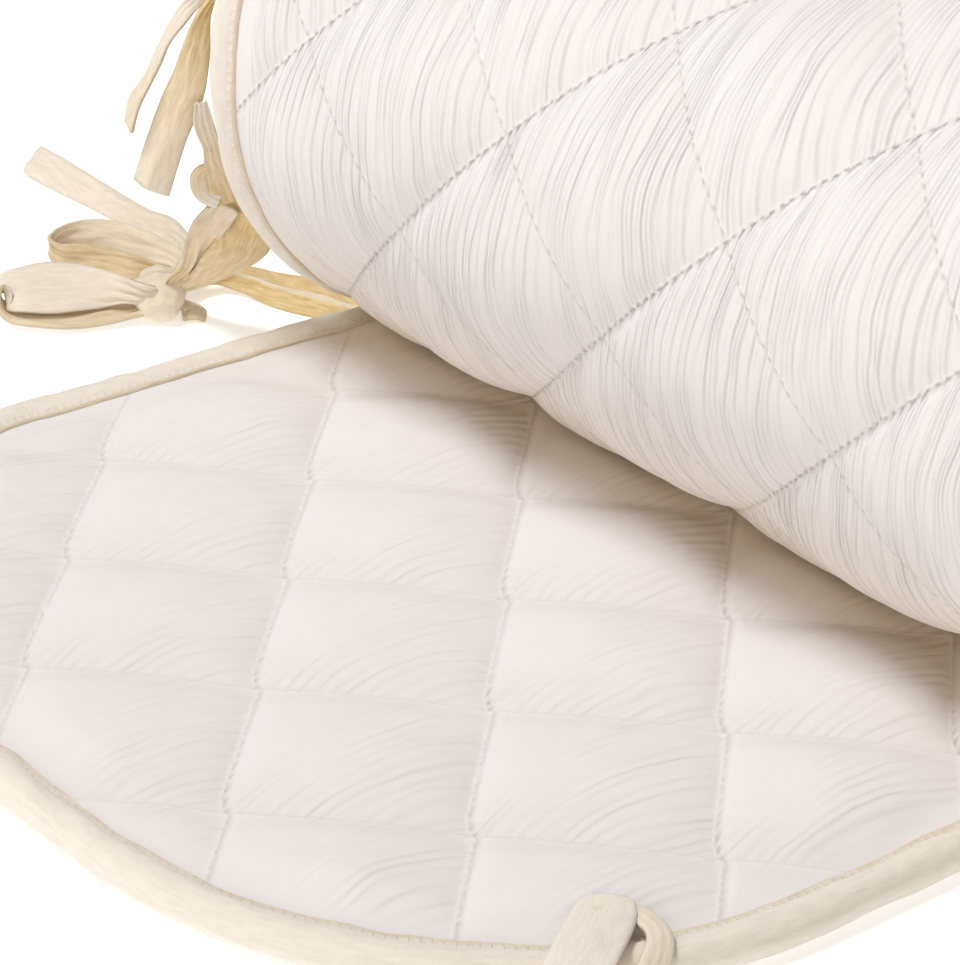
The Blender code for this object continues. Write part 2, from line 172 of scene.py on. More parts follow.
def make_mesh(name, points, faces, material, uv, values):
    mesh = bpy.data.meshes.new(name)
    mesh.from_pydata([tuple(p) for p in points], [], [tuple(f) for f in faces])
    mesh.validate()
    mesh.materials.append(material)
    layer = mesh.uv_layers.new(name="cloth")
    corners = np.empty(len(mesh.loops), int)
    mesh.loops.foreach_get("vertex_index", corners)
    layer.data.foreach_set("uv", np.asarray(uv, float)[corners].ravel())
    for key, numbers in values.items():
        mesh.attributes.new(key, "FLOAT", "POINT").data.foreach_set("value", np.asarray(numbers, float))
    mesh.shade_smooth()
    piece = bpy.data.objects.new(name, mesh)
    bpy.context.scene.collection.objects.link(piece)
    return piece


def grid_faces(rows, columns, start=0, flip=False):
    i, j = np.meshgrid(np.arange(rows - 1), np.arange(columns - 1), indexing="ij")
    a = start + i * columns + j
    quads = np.stack([a, a + 1, a + columns + 1, a + columns], -1).reshape(-1, 4)
    return quads[:, ::-1] if flip else quads


# Materials
class Nodes:
    """Short calls for wiring a material."""

    def __init__(self, name, roughness=0.9, sheen=0.25):
        self.material = bpy.data.materials.new(name)
        self.material.use_nodes = True
        self.tree = self.material.node_tree
        self.shader = self.tree.nodes["Principled BSDF"]
        self.shader.inputs["Roughness"].default_value = roughness
        self.shader.inputs["Sheen Weight"].default_value = sheen
        self.shader.inputs["Sheen Roughness"].default_value = 0.6
        self.shader.inputs["Specular IOR Level"].default_value = 0.2

    def put(self, socket, value):
        if isinstance(value, bpy.types.NodeSocket):
            self.tree.links.new(value, socket)
        else:
            socket.default_value = value

    def math(self, operation, a, b=0.0, c=0.0):
        node = self.tree.nodes.new("ShaderNodeMath")
        node.operation = operation
        for socket, value in zip(node.inputs, (a, b, c)):
            self.put(socket, value)
        return node.outputs[0]

    def add(self, *values):
        total = values[0]
        for value in values[1:]:
            total = self.math("ADD", total, value)
        return total

    def mul(self, *values):
        total = values[0]
        for value in values[1:]:
            total = self.math("MULTIPLY", total, value)
        return total

    def ramp(self, value, low, high, to_low=0.0, to_high=1.0):
        node = self.tree.nodes.new("ShaderNodeMapRange")
        node.interpolation_type = "SMOOTHSTEP"
        for socket, number in zip(node.inputs, (value, low, high, to_low, to_high)):
            self.put(socket, number)
        return node.outputs[0]

    def attribute(self, name):
        node = self.tree.nodes.new("ShaderNodeAttribute")
        node.attribute_name = name
        return node.outputs["Fac"]

    def uv(self):
        node = self.tree.nodes.new("ShaderNodeUVMap")
        node.uv_map = "cloth"
        split = self.tree.nodes.new("ShaderNodeSeparateXYZ")
        self.tree.links.new(node.outputs[0], split.inputs[0])
        return split.outputs[0], split.outputs[1]

    def vector(self, x, y, z=0.0):
        node = self.tree.nodes.new("ShaderNodeCombineXYZ")
        for socket, value in zip(node.inputs, (x, y, z)):
            self.put(socket, value)
        return node.outputs[0]

    def noise(self, vector, scale=1.0, detail=2.0, roughness=0.5):
        node = self.tree.nodes.new("ShaderNodeTexNoise")
        self.tree.links.new(vector, node.inputs["Vector"])
        node.inputs["Scale"].default_value = scale
        node.inputs["Detail"].default_value = detail
        node.inputs["Roughness"].default_value = roughness
        return node.outputs["Fac"]

    def mix(self, factor, a, b):
        node = self.tree.nodes.new("ShaderNodeMix")
        node.data_type = "RGBA"
        self.put(node.inputs[0], factor)
        self.put(node.inputs[6], a)
        self.put(node.inputs[7], b)
        return node.outputs[2]

    def bump(self, height, distance=MM, strength=1.0, under=None):
        node = self.tree.nodes.new("ShaderNodeBump")
        node.inputs["Strength"].default_value = strength
        node.inputs["Distance"].default_value = distance
        self.tree.links.new(height, node.inputs["Height"])
        if under is not None:
            self.tree.links.new(under, node.inputs["Normal"])
        return node.outputs[0]


def cloth_material():
    n = Nodes("crinkled_cotton", roughness=0.92, sheen=0.15)
    s, v = n.uv()
    seam = n.attribute("seam")
    along = n.math("DIVIDE", n.math("SUBTRACT", s, QUILT_START), HALF_DIAGONAL)
    across = n.math("DIVIDE", v, HALF_DIAGONAL)
    p = n.mul(n.add(along, across), 0.5)
    q = n.mul(n.math("SUBTRACT", along, across), 0.5)
    fq = n.math("FRACT", q)

    # A line of the first family steps aside where one of the second crosses it, as puffs() does
    step = n.mul(n.ramp(fq, 0.0, 0.14), n.math("SUBTRACT", 1.0, n.mul(fq, 2.0)), n.attribute("jog"))
    p = n.add(p, step)
    fp = n.math("FRACT", p)

    def to_line(f):
        """Millimetres to the nearest stitch line of one family."""
        return n.mul(n.math("SUBTRACT", 0.5, n.math("ABSOLUTE", n.math("SUBTRACT", f, 0.5))), DIAMOND / MM)

    near_p, near_q = to_line(fp), to_line(fq)

    def holes(other):
        """1 at the needle holes along a line, 0 between them."""
        beat = n.math("FRACT", n.mul(other, DIAMOND / MM / HOLE_STEP))
        return n.ramp(n.math("ABSOLUTE", n.math("SUBTRACT", beat, 0.5)), 0.1, 0.3, 1.0, 0.0)

    line_p = n.ramp(near_p, 0.1, 0.4, 1.0, 0.0)
    line_q = n.mul(n.ramp(near_q, 0.1, 0.45, 1.0, 0.0), 0.6)
    hole = n.math("MAXIMUM", n.mul(line_p, holes(q)), n.mul(line_q, holes(p)))
    line = n.math("MAXIMUM", line_p, line_q)
    groove_q = n.mul(n.ramp(near_q, 0.0, 1.0, 1.0, 0.0), 0.6)
    groove = n.math("MAXIMUM", n.ramp(near_p, 0.0, 1.0, 1.0, 0.0), groove_q)

    # The cloth stands up in a lip beside a line, and falls slowly towards the next one
    from_p = n.math("ABSOLUTE", n.math("SUBTRACT", n.mul(fp, DIAMOND / MM), 1.6))
    lip_p = n.ramp(from_p, 0.0, 1.6, 1.0, 0.0)
    lip_q = n.ramp(n.mul(n.math("SUBTRACT", 1.0, fq), DIAMOND / MM), 0.6, 9.0, 1.0, 0.0)
    lip = n.add(n.mul(lip_p, 0.55), n.mul(lip_q, n.ramp(seam, 0.1, 0.5, 1.5, 0.0)))

    # Ridges run along the bumper and bend where they come down to a stitch line
    back = n.mul(n.math("SUBTRACT", 1.0, fp), 2 * HALF_DIAGONAL / MM)
    bend = n.math("SUBTRACT", n.mul(back, 0.22), n.mul(back, back, 0.0034))
    wander = n.mul(n.noise(n.vector(n.mul(s, 26), n.mul(v, 30), n.math("FLOOR", p)), 1.0, 2.0), 6.0)
    lane = n.add(n.mul(v, 1000.0), bend, wander)
    cell = n.mul(n.math("FLOOR", p), 7.31)
    warp = n.noise(n.vector(n.math("DIVIDE", lane, 8.5), n.mul(s, 24), cell), 1.0, 2.0, 0.5)
    wave = n.math("SINE", n.add(n.mul(lane, TURN / RIDGE_STEP), n.mul(warp, 11.0)))
    patch = n.noise(n.vector(n.math("DIVIDE", lane, 5.0), n.mul(s, 30), cell), 1.0, 1.0)
    strength = n.ramp(patch, 0.3, 0.62, 0.4, 1.0)
    fine = n.noise(n.vector(n.math("DIVIDE", lane, 1.2), n.mul(s, 34), cell), 1.0, 1.0, 0.4)
    crinkle = n.add(n.mul(wave, strength, 0.58), n.mul(fine, 0.55))
    amount = n.attribute("crinkle")
    groove_depth = n.mul(groove, n.ramp(seam, 0.1, 0.5, -0.12, -0.3))
    hole_depth = n.mul(hole, n.ramp(seam, 0.1, 0.5, -0.05, -0.3))
    height = n.add(n.mul(crinkle, amount), n.mul(lip, 0.45), groove_depth, hole_depth)
    relief = n.bump(height, MM, 0.9)
    thread = n.noise(n.vector(n.mul(s, 2600), n.mul(v, 2600)), 1.0, 1.0)
    weave = n.bump(thread, 0.12 * MM, 0.6, relief)
    n.tree.links.new(weave, n.shader.inputs["Normal"])

    # Each diamond is dimmer on the sides that fall away from the light
    tone = n.noise(n.vector(n.mul(s, 60), n.mul(v, 60)), 1.0, 3.0)
    slope = n.add(n.mul(n.ramp(fp, 0.35, 1.0), 0.25), n.mul(n.ramp(fq, 0.0, 0.5, 1.0, 0.0), 0.85))
    dim = n.add(n.mul(n.ramp(tone, 0.3, 0.7), 0.3), n.mul(slope, n.ramp(seam, 0.1, 0.5, 0.7, 0.25)))
    cloth = n.mix(dim, CLOTH_LIT, CLOTH_DIM)
    # Painted shade from the deep attribute, in the nook where the roll sits on the loose end and low on the
    # roll
    shaded = n.mix(n.attribute("deep"), cloth, CLOTH_PAINTED_SHADE)
    # Stitch lines: thread colour with painted groove shade, stronger on the roll through seam
    sewn = n.mix(n.mul(line, seam, 0.25), shaded, CLOTH_THREAD_AND_GROOVE_SHADE)
    # Needle holes: painted shade in the pits, stronger on the roll through seam
    base = n.mix(n.mul(hole, seam, 0.6), sewn, CLOTH_HOLE_SHADE)
    n.tree.links.new(base, n.shader.inputs["Base Color"])
    return n.material


def tape_material():
    n = Nodes("cream_tape", roughness=0.85, sheen=0.15)
    s, v = n.uv()
    weave = n.noise(n.vector(n.mul(s, 2400), n.mul(v, 2400)), 1.0, 1.0)
    slub = n.noise(n.vector(n.mul(s, 180), n.mul(v, 900)), 1.0, 3.0)
    crease = n.noise(n.vector(n.mul(s, 150), n.mul(v, 420)), 1.0, 3.0, 0.6)
    beat = n.math("FRACT", n.mul(s, 1 / TAPE_STITCH))
    from_hole = n.math("ABSOLUTE", n.math("SUBTRACT", beat, 0.5))
    stitch = n.mul(n.attribute("stitched"), n.ramp(from_hole, 0.16, 0.3))
    height = n.add(n.mul(weave, 0.10), n.mul(slub, 0.12), n.mul(crease, 0.5), n.mul(stitch, -0.3))
    n.tree.links.new(n.bump(height, MM, 0.7), n.shader.inputs["Normal"])
    # Painted shade: the pale tape is mixed towards ochre by the per-point shade attribute
    pale = n.mix(n.ramp(slub, 0.3, 0.7), *TAPE_PALE)
    painted_shade_colour = n.mix(n.ramp(slub, 0.3, 0.7), *TAPE_PAINTED_SHADE)
    base = n.mix(n.attribute("painted_shade"), pale, painted_shade_colour)
    sewn = n.mix(n.mul(stitch, 0.18), base, TAPE_THREAD)
    n.tree.links.new(sewn, n.shader.inputs["Base Color"])
    return n.material


CLOTH = cloth_material()
TAPE = tape_material()


# The quilted cloth
def lines_of(s, v):
    along = (s - QUILT_START) / HALF_DIAGONAL
    across = v / HALF_DIAGONAL
    return (along + across) / 2, (along - across) / 2


def upper_freedom(s):
    """1 where the upper face is in the open, 0 from where the roll presses on it."""
    return 1 - smooth(LOOSE - 44 * MM, LOOSE - 26 * MM, s)


def outer_freedom(angle):
    """1 where the roll's outer face is in the open, 0 where it lies on the floor or under the next turn."""
    return smooth(LIFT_START, LIFT_END, angle) * (1 - smooth(TURN - LIFT_END, TURN - LIFT_START, angle))


def puffs(s, v, free, jog, faint):
    """Half thickness of a face: diamonds raised where it is free, flat where it is pressed."""
    distance = edge_distance(s, v)
    p, q = lines_of(s, v)
    p = p + jog * smooth(0.0, 0.14, q % 1.0) * (1 - 2 * (q % 1.0))
    stitches = np.abs(np.sin(math.pi * p)) * (faint + (1 - faint) * np.abs(np.sin(math.pi * q)))
    stitches = np.hypot(stitches, 0.05) - 0.05
    uneven = 1 + 0.16 * lattice_noise(s / (31 * MM), v / (31 * MM), 3)
    raised = AT_STITCHES + PUFF * stitches ** 0.55 * uneven * smooth(10 * MM, 27 * MM, distance)
    raised += 0.35 * MM * lattice_noise(s / (14 * MM), v / (7 * MM), 5) * stitches ** 0.4
    full = PRESSED + (raised - PRESSED) * free
    rim = AT_STITCHES + 0.9 * MM * (1 - free)
    return rim + (full - rim) * smooth(10 * MM, 14 * MM, distance)


def face_rows(s_rows, columns, inset):
    starts = edge_at(s_rows, inset)
    t = np.linspace(0, 1, columns)[None, :]
    v = starts[:, None] + (WIDTH - 2 * starts[:, None]) * t
    s = np.repeat(s_rows[:, None], columns, 1)
    return s, v


def quilted_cloth():
    columns = 200
    upper_s = np.concatenate([[TUCK, 9.6 * MM, 10.8 * MM, 12 * MM], np.arange(13.5, 236, 1.55) * MM])
    s, v = face_rows(upper_s, columns, TUCK)
    upper = place(s, v, puffs(s, v, upper_freedom(s), JOG, FAINT_LINES_LOOSE))
    p, q = lines_of(s, v)
    back = (1 - (p % 1.0)) * 2 * HALF_DIAGONAL / MM
    low = q % 1.0
    fade = 0.15 + 0.85 * np.maximum(smooth(60, 24, back), 0.75 * smooth(0.4, 0.05, low))
    crinkle_upper = fade * 0.31 * smooth(10 * MM, 22 * MM, edge_distance(s, v))
    uv_upper = np.stack([s, v], -1)

    last = length_at(TURN - math.radians(12))
    lower_s = np.concatenate([np.linspace(TUCK, LOOSE, 40), np.arange(LOOSE + 2.1 * MM, last, 2.1 * MM)])
    s2, v2 = face_rows(lower_s, columns, TUCK)
    angle = turn_angle(np.maximum(s2, LOOSE))
    free2 = outer_freedom(angle)
    lower = place(s2, v2, -puffs(s2, v2, free2, 0.0, FAINT_LINES))
    behind = 1.15 - 0.5 * smooth(math.radians(150), math.radians(190), angle)
    crinkle_lower = (0.25 + 0.75 * free2) * behind * smooth(9 * MM, 18 * MM, edge_distance(s2, v2))
    uv_lower = np.stack([s2, v2], -1)

    points = np.concatenate([upper.reshape(-1, 3), lower.reshape(-1, 3)])
    faces = [tuple(f) for f in grid_faces(len(upper_s), columns, 0, True)]
    faces += [tuple(f) for f in grid_faces(len(lower_s), columns, len(upper_s) * columns, False)]
    uv = np.concatenate([uv_upper.reshape(-1, 2), uv_lower.reshape(-1, 2)])
    crinkle = np.concatenate([crinkle_upper.ravel(), crinkle_lower.ravel()])
    uppers, lowers = upper_s.size * columns, lower_s.size * columns
    jog = np.concatenate([np.full(uppers, JOG), np.zeros(lowers)])
    seam = np.concatenate([np.full(uppers, 0.15), np.full(lowers, 0.55)])
    # Painted shade in the deep attribute: stronger towards the roll on the loose end, low on the roll's face
    # and where the last turn goes under the next
    painted_nook_shade = 0.7 * smooth(190 * MM, 228 * MM, s)
    painted_low_shade = 0.5 * (1 - smooth(math.radians(15), math.radians(75), angle))
    painted_low_shade = painted_low_shade + 0.6 * smooth(TURN - 1.3, TURN - 0.5, angle)
    deep = np.concatenate([painted_nook_shade.ravel(), painted_low_shade.ravel()])
    values = {"crinkle": crinkle, "seam": seam, "deep": deep, "jog": jog}
    return make_mesh("quilted_cloth", points, faces, CLOTH, uv, values)


def roll_ends():
    """What shows between the bound turns at the roll's two ends: the cloth's layers, deep in the gaps."""
    points, faces, uv = [], [], []
    angles = np.linspace(0, TURN, 97)[:-1]
    for side in (0, 1):
        depth = END_DEPTH if side == 0 else WIDTH - END_DEPTH
        start = len(points)
        rim = length_at(angles * 0.965)
        ring = place(rim, np.full(len(rim), depth), np.full(len(rim), 0.5 * MM))
        points += [tuple(x) for x in ring]
        uv += [(x[0] * 3, x[2] * 3) for x in ring]
        hub = len(points)
        points.append((0.0, WIDTH / 2 - depth, CENTRE_HEIGHT))
        uv.append((0.0, 0.0))
        for k in range(len(angles)):
            face = (start + k, start + (k + 1) % len(angles), hub)
            faces.append(face if side == 0 else face[::-1])
    # The layers at the ends take painted shade through deep
    values = {key: [number] * len(points) for key, number in (("crinkle", 0.2), ("seam", 0.0), ("deep", 0.6))}
    return make_mesh("roll_end_layers", points, faces, CLOTH, uv, values)


# The binding
def binding_route():
    """Stops from the core round the loose end to the core: length, across, way inwards, run."""
    fine = np.arange(CORNER + 2 * MM, length_at(TURN - 0.3), 2.2 * MM)
    wound = np.arange(fine[-1] + 4 * MM, LENGTH, 4 * MM)
    side = [(s, 0.0, 0.0, 1.0) for s in np.concatenate([fine, wound])[::-1]]
    for turn in np.linspace(math.pi / 2, 0, 92):
        c, d = math.cos(turn), math.sin(turn)
        side.append((CORNER * (1 - c), CORNER * (1 - d), c, d))
    half = np.arange(CORNER + 2.2 * MM, WIDTH / 2, 2.2 * MM)
    side += [(0.0, v, 1.0, 0.0) for v in half]
    return side + [(s, WIDTH - v, ds, -dv) for s, v, ds, dv in reversed(side)]


def edge_binding():
    stops = np.array(binding_route())
    s, v, ds, dv = stops.T
    step = np.hypot(np.diff(s), np.diff(v))
    run = np.concatenate([[0], np.cumsum(step)])
    angle = turn_angle(np.maximum(s, LOOSE))
    outer_free = np.where(s > LOOSE, outer_freedom(angle), 0.0)
    upper_free = upper_freedom(s)
    loose = np.maximum(outer_free, upper_free)

    # Round the fold: millimetres in from the edge, share of the height, and 1 on the stitched hem
    section = [
        (9.0, -0.2, 1), (10.2, -0.8, 1), (9.7, -1.05, 1), (8.5, -0.92, 1), (7.4, -1.15, 1),
        (5.6, -1.0, 0), (3.3, -1.0, 0), (1.3, -0.82, 0), (0.2, -0.42, 0), (0.0, 0.0, 0),
        (0.2, 0.42, 0), (1.3, 0.82, 0), (3.3, 1.0, 0), (5.6, 1.0, 0), (7.4, 1.15, 1),
        (8.5, 0.92, 1), (9.7, 1.05, 1), (10.2, 0.8, 1), (9.0, 0.2, 1)]
    count = len(section)
    points = np.empty((len(s), count, 3))
    uv = np.empty((len(s), count, 2))
    stitched = np.zeros((len(s), count))
    # Painted shade on the binding: a little everywhere
    painted_shade = np.full((len(s), count), 0.04)
    for k, (inset, share, lip) in enumerate(section):
        side_free = upper_free if share > 0 else outer_free
        rim = AT_STITCHES + 1.0 * MM + 0.9 * MM * (1 - side_free)
        tall = np.where(lip == 1, rim, PRESSED)
        around = k * 0.9
        wave = lattice_noise(run / (6.5 * MM), np.full(len(run), around), 11) * 0.42
        wave += lattice_noise(run / (17 * MM) + inset * 0.12, np.full(len(run), around * 0.5), 12) * 0.45
        wave *= MM * (0.25 + 0.75 * loose) * (1.0 if inset < 9.5 else 0.5)
        sway = lattice_noise(run / (8 * MM), np.zeros(len(run)), 13) * 0.55 * MM
        sway = sway * (1.0 if lip else 0.0) * loose
        h = tall * share + np.sign(share) * np.minimum(wave, 0.28 * MM)
        inwards = inset * MM + sway
        points[:, k] = place(s + ds * inwards, v + dv * inwards, h)
        uv[:, k] = np.stack([run, np.full(len(run), k * 1.6 * MM)], -1)
        stitched[:, k] = 1.0 if inset == 8.5 else 0.0
        # More painted shade where the roll presses on the binding, and a painted ochre line along the lip's
        # edge
        painted_shade[:, k] += 0.35 * (1 - loose) + (0.35 if inset > 8.9 else 0.0)
    faces = []
    index = np.arange(len(s) * count).reshape(len(s), count)
    for k in range(count):
        j = (k + 1) % count
        faces += [tuple(f) for f in np.stack([index[:-1, j], index[:-1, k], index[1:, k], index[1:, j]], -1)]
    faces.append(tuple(index[0]))
    faces.append(tuple(index[-1][::-1]))
    values = {"stitched": stitched.ravel(), "painted_shade": painted_shade.ravel()}
    return make_mesh("binding_tape", points.reshape(-1, 3), faces, TAPE, uv.reshape(-1, 2), values)


# The ribbons. Rows as in the solids: x, y, z and width in millimetres, then the way the face looks
def spline(rows, steps):
    """Rows of numbers drawn out into a smooth run of rows."""
    rows = np.asarray(rows, float)
    ends = np.concatenate([[2 * rows[0] - rows[1]], rows, [2 * rows[-1] - rows[-2]]])
    out = []
    for k in range(len(rows) - 1):
        a, b, c, d = ends[k:k + 4]
        for t in np.arange(steps) / steps:
            curve = (2 * b) + (c - a) * t + (2 * a - 5 * b + 4 * c - d) * t * t
            out.append(0.5 * (curve + (3 * b - a - 3 * c + d) * t ** 3))
    out.append(rows[-1])
    return np.array(out)


def ribbon(rows, seed, cup=0.6, thick=1.1, steps=9, crumple=0.5, outer=-1, ridge=0.0, painted_shade=(0.2, 0.2),
           inside=0.3, pleats=0.9):
    """A soft strip. Rows: x, y, z, width, and the way its face looks; outer is the side that faces out."""
    run = spline(rows, steps)
    centre = run[:, :3] * MM
    width = run[:, 3] * MM
    way = np.gradient(centre, axis=0)
    way /= np.linalg.norm(way, axis=1)[:, None]
    across = np.cross(way, run[:, 4:7])
    across /= np.linalg.norm(across, axis=1)[:, None]
    facing = np.cross(across, way) * outer
    length = np.concatenate([[0], np.cumsum(np.linalg.norm(np.diff(centre, axis=0), axis=1))])
    # Painted shade along the strip, running from the first given number to the second
    painted_shade_along = np.interp(length / length[-1], (0, 1), painted_shade)
    calm = np.clip(width / (9 * MM), 0.3, 1.0)
    gather = 1 - width / width.max()
    places = np.linspace(-1, 1, 15)
    points, uv, painted_shade_values = [], [], []
    for side in (1, -1):
        for t in places if side == 1 else places[::-1]:
            wrinkle = lattice_noise(length / (8 * MM), np.full(len(length), t * 2.2 + 9), seed) * crumple
            broad = lattice_noise(length / (20 * MM), np.full(len(length), t * 1.1 + 3), seed + 1)
            wrinkle += broad * crumple * 1.2
            bow = cup * (1 - t * t) - cup / 2 + ridge * math.exp(-((t - 0.1) / 0.22) ** 2) - ridge * 0.3
            hem = thick / 2 * (1 - 0.45 * abs(t) ** 8) + 0.16 * math.exp(-((abs(t) - 0.86) / 0.05) ** 2)
            pleat = pleats * gather * math.cos(math.pi * (3.2 * t + 0.3 * seed))
            lift = ((wrinkle * (1 - 0.3 * abs(t)) + bow) * calm + pleat + side * hem) * MM
            points.append(centre + across * (width * t / 2)[:, None] + facing * lift[:, None])
            uv.append(np.stack([length, width * t / 2 + (0.02 if side > 0 else 0.05)], -1))
            # The inner face takes inside more painted shade; a painted highlight along the ridge takes some
            # away
            pale = 0.55 if ridge and abs(t - 0.1) < 0.12 else 0
            painted_shade_values.append(np.clip(painted_shade_along + (0 if side > 0 else inside) - pale, 0, 1))
    points = np.stack(points, 1)
    uv = np.stack(uv, 1)
    painted_shade_values = np.stack(painted_shade_values, 1)
    rows_n, count = points.shape[:2]
    index = np.arange(rows_n * count).reshape(rows_n, count)
    faces = []
    for k in range(count):
        j = (k + 1) % count
        quad = (index[:-1, j], index[:-1, k], index[1:, k], index[1:, j])
        faces += [tuple(f) for f in np.stack(quad if outer > 0 else quad[::-1], -1)]
    faces.append(tuple(index[0])[::outer])
    faces.append(tuple(index[-1])[::-outer])
    return points.reshape(-1, 3), faces, uv.reshape(-1, 2), painted_shade_values.ravel()


def together(name, strips):
    points, faces, uv, painted_shade_values = [], [], [], []
    for p, f, u, w in strips:
        start = sum(len(x) for x in points)
        points.append(p)
        uv.append(u)
        painted_shade_values.append(w)
        faces += [tuple(i + start for i in face) for face in f]
    values = {"painted_shade": np.concatenate(painted_shade_values)}
    return make_mesh(name, np.concatenate(points), faces, TAPE, np.concatenate(uv), values)


KNOT_CENTRE = (-71.5, 189.5)
KNOT_FACING = (0.55, 0.83, 0.0)
FRONT_KNOT = [
    (0.2, 7.5, 6.0, 6.9), (5.0, 7.6, 5.6, 6.5),
    (9.5, 5.0, 3.6, 4.6)]
BACK_KNOT = [
    (0.2, 7.0, 6.0, 6.9), (5.0, 6.0, 5.4, 6.7),
    (9.5, 4.2, 4.2, 6.4)]
STRAP_FROM_ROLL = [
    (-64.5, 152.8, 39.0, 19.5, 6, 0, 6), (-64.5, 155.9, 38.5, 18.0, 6, 1, 6),
    (-63.8, 160.0, 32.5, 16.0, 5, 4, 6), (-63.5, 163.5, 26.5, 16.0, 4, 6, 5),
    (-64.5, 169.5, 20.5, 13.5, 4, 6, 5), (-66.0, 175.0, 15.0, 8.5, 5, 6, 5),
    (-66.5, 180.0, 11.0, 6.0, 5, 5, 5), (-69.5, 183.5, 9.5, 5.0, 5, 5, 5)]
STRAP_FOLD = [
    (-74.0, 158.0, 44.5, 9.5, 3, 6, 5), (-73.5, 164.0, 37.0, 10.5, 4, 6, 5),
    (-72.0, 171.0, 27.5, 8.0, 4, 6, 5), (-69.5, 178.0, 18.0, 5.0, 4, 5, 6),
    (-70.5, 182.5, 13.0, 4.5, 4, 5, 5), (-71.5, 184.5, 9.5, 4.5, 4, 5, 5)]
FRONT_LOOP = [
    (-75.5, 185.0, 8.0, 5.0, 8, 5, 0), (-80.0, 186.0, 9.0, 6.0, 8, 5, 0),
    (-83.5, 191.0, 9.0, 8.0, 6, 5, -4), (-88.5, 196.0, 9.0, 13.0, 4, 4, -7),
    (-94.0, 200.5, 9.0, 17.5, 3, 3, -8), (-100.0, 204.5, 9.0, 18.5, 3, 3, -8),
    (-105.5, 208.5, 8.5, 17.0, 4, 2, -8), (-109.0, 212.5, 7.0, 13.0, 7, 0, -6),
    (-110.5, 211.5, 5.5, 11.0, 8, -4, 2), (-109.0, 206.5, 3.6, 12.0, -1, -2, 8),
    (-105.0, 200.5, 3.4, 12.0, -1, -2, 8), (-98.0, 195.5, 3.4, 12.0, -1, -2, 8),
    (-89.0, 192.0, 3.4, 10.5, -1, -2, 8), (-82.0, 189.0, 3.6, 8.0, -3, 0, 8),
    (-76.0, 185.0, 5.5, 6.0, -5, 0, 7)]
SHORT_END = [
    (-67.5, 185.0, 3.4, 6.0, 0, 0, 9), (-64.8, 181.8, 2.0, 7.5, 0, 0, 9),
    (-67.4, 177.9, 1.0, 6.5, 0, 0, 9)]
STRAP_FROM_FLOOR = [
    (-27.5, 151.8, 4.8, 8.5, 8, 3, -3), (-29.5, 158.0, 4.0, 11.5, 5, 2, -7),
    (-31.5, 164.0, 4.2, 13.0, 4, 2, -8), (-35.0, 170.5, 4.3, 13.0, 4, 2, -8),
    (-38.5, 177.5, 4.3, 11.5, 4, 2, -8), (-41.5, 186.0, 4.5, 9.0, 4, 2, -8),
    (-46.0, 191.5, 4.8, 7.5, 2, 4, -8), (-53.0, 193.0, 5.4, 5.5, 0, 6, -7),
    (-65.0, 190.8, 6.5, 5.0, 0, 6, -7)]
BACK_LOOP = [
    (-64.5, 191.5, 8.5, 5.0, 7, 0, -6), (-58.0, 198.0, 9.0, 5.5, 7, 0, -6),
    (-58.0, 207.5, 9.0, 7.5, 8, 1, -4), (-60.5, 216.5, 8.7, 10.0, 7, 2, -5),
    (-63.5, 224.5, 8.4, 11.0, 6, 3, -6), (-68.0, 230.0, 8.0, 10.0, 6, 6, -4),
    (-73.0, 234.5, 7.8, 6.5, 2, 9, 1), (-77.5, 234.5, 6.0, 5.5, -6, 7, 0),
    (-77.5, 229.5, 4.4, 7.0, -7, -5, 0), (-73.5, 225.5, 4.6, 8.0, -7, -5, 0),
    (-69.5, 219.0, 4.6, 8.0, -8, -4, 2), (-66.0, 211.5, 4.6, 7.5, -7, -4, 4),
    (-60.8, 206.0, 4.2, 5.0, -7, -3, 5), (-60.5, 198.0, 5.0, 5.0, -6, 0, 6),
    (-65.5, 192.0, 5.5, 4.5, -6, 0, 6)]
LONG_END = [
    (-64.0, 191.0, 9.5, 4.0, 0, -1, -9), (-56.5, 196.5, 10.6, 4.5, 0, -1, -9),
    (-50.5, 204.5, 9.0, 5.0, 0, -2, -9), (-44.0, 217.0, 6.3, 7.0, 1, -2, -9),
    (-40.0, 230.5, 4.8, 8.0, 4, -1, -8), (-41.0, 243.0, 3.8, 8.0, 5, 0, -7),
    (-41.5, 261.5, 3.9, 8.5, 6, 0, -6), (-42.5, 281.0, 4.5, 10.0, 6, 0, -6),
    (-43.0, 294.0, 4.6, 10.0, 7, 0, -6)]
LOOSE_WIDE = [
    (-84.0, 153.0, 108.0, 2.5, 4, 8, 1), (-86.0, 154.5, 102.0, 4.5, 7, 6, 1),
    (-86.0, 156.7, 94.0, 7.5, 8, 4, 1), (-86.2, 159.2, 83.5, 10.5, 8, 3, 0),
    (-87.6, 162.0, 75.0, 11.5, 8, 3, 0), (-89.5, 165.0, 64.5, 11.5, 8, 3, 0),
    (-91.5, 168.0, 50.5, 11.5, 8, 4, 0)]
LOOSE_THIN = [
    (-80.5, 153.6, 116.5, 3.0, 9, 1, 0), (-82.5, 158.8, 108.0, 3.6, 9, 2, 0),
    (-84.2, 163.5, 102.0, 5.0, 9, 1, -3), (-87.5, 166.8, 94.7, 6.5, 8, -3, -4),
    (-89.3, 169.2, 87.5, 6.7, 8, -3, -3), (-91.6, 171.5, 80.0, 6.7, 8, -3, -3),
    (-93.7, 173.5, 73.5, 7.0, 8, -2, -2), (-94.0, 175.0, 66.5, 6.7, 8, -3, -1)]
